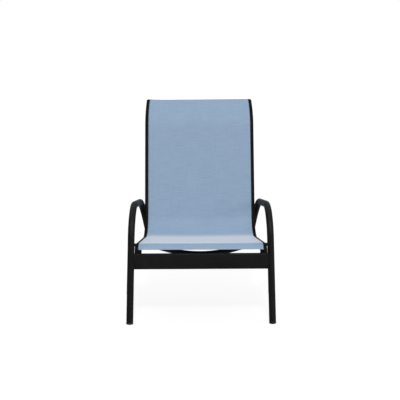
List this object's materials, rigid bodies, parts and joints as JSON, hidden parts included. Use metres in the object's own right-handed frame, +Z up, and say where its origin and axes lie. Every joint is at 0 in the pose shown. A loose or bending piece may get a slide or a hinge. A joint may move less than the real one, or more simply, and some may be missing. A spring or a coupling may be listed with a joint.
{
  "type": "sling patio chair",
  "caption": "High-back patio chair with bent tube arms and legs, a flat front crossbar and one fabric sling stretched between two grooved side rails.",
  "frame": {"origin": "on the floor, under the middle of the chair's width and length", "axes": "+X across the chair, +Y from the front to the back, +Z up"},
  "size_m": [0.7456, 0.7818, 0.9703],
  "materials": {
    "frame_coat": "near-black textured powder coat, satin, with fine speckle",
    "rail_coat": "near-black textured powder coat on an extruded rail",
    "sling_fabric": "grey-blue open mesh of vinyl-coated polyester yarn, matte",
    "moulded_plastic": "black moulded plastic, matte",
    "fastener_steel": "black-finished steel fasteners, satin",
    "spline_plastic": "dark grey extruded plastic rod"
  },
  "bodies": {
    "root": {"front_crossbar": "frame_coat", "left_arm_bolt": "fastener_steel", "left_arm_end_plug": "moulded_plastic", "left_arm_saddle": "moulded_plastic", "left_arm_tube": "frame_coat", "left_arm_washer": "fastener_steel", "left_front_bar_bolt": "fastener_steel", "left_front_glide": "moulded_plastic", "left_lower_back_spreader_plug": "moulded_plastic", "left_lower_back_spreader_screw": "fastener_steel", "left_rail_foot_plug": "moulded_plastic", "left_rail_top_cap": "moulded_plastic", "left_rear_bar_bolt": "fastener_steel", "left_rear_bar_washer": "fastener_steel", "left_rear_glide": "moulded_plastic", "left_rear_leg": "frame_coat", "left_seat_spreader_plug": "moulded_plastic", "left_seat_spreader_screw": "fastener_steel", "left_sling_rail": "rail_coat", "left_spline_rod": "spline_plastic", "left_upper_back_spreader_plug": "moulded_plastic", "left_upper_back_spreader_screw": "fastener_steel", "lower_back_spreader": "frame_coat", "rear_crossbar": "frame_coat", "rear_stretcher": "frame_coat", "right_arm_bolt": "fastener_steel", "right_arm_end_plug": "moulded_plastic", "right_arm_saddle": "moulded_plastic", "right_arm_tube": "frame_coat", "right_arm_washer": "fastener_steel", "right_front_bar_bolt": "fastener_steel", "right_front_glide": "moulded_plastic", "right_lower_back_spreader_plug": "moulded_plastic", "right_lower_back_spreader_screw": "fastener_steel", "right_rail_foot_plug": "moulded_plastic", "right_rail_top_cap": "moulded_plastic", "right_rear_bar_bolt": "fastener_steel", "right_rear_bar_washer": "fastener_steel", "right_rear_glide": "moulded_plastic", "right_rear_leg": "frame_coat", "right_seat_spreader_plug": "moulded_plastic", "right_seat_spreader_screw": "fastener_steel", "right_sling_rail": "rail_coat", "right_spline_rod": "spline_plastic", "right_upper_back_spreader_plug": "moulded_plastic", "right_upper_back_spreader_screw": "fastener_steel", "seat_spreader": "frame_coat", "sling": "sling_fabric", "upper_back_spreader": "frame_coat"}
  },
  "joints": []
}
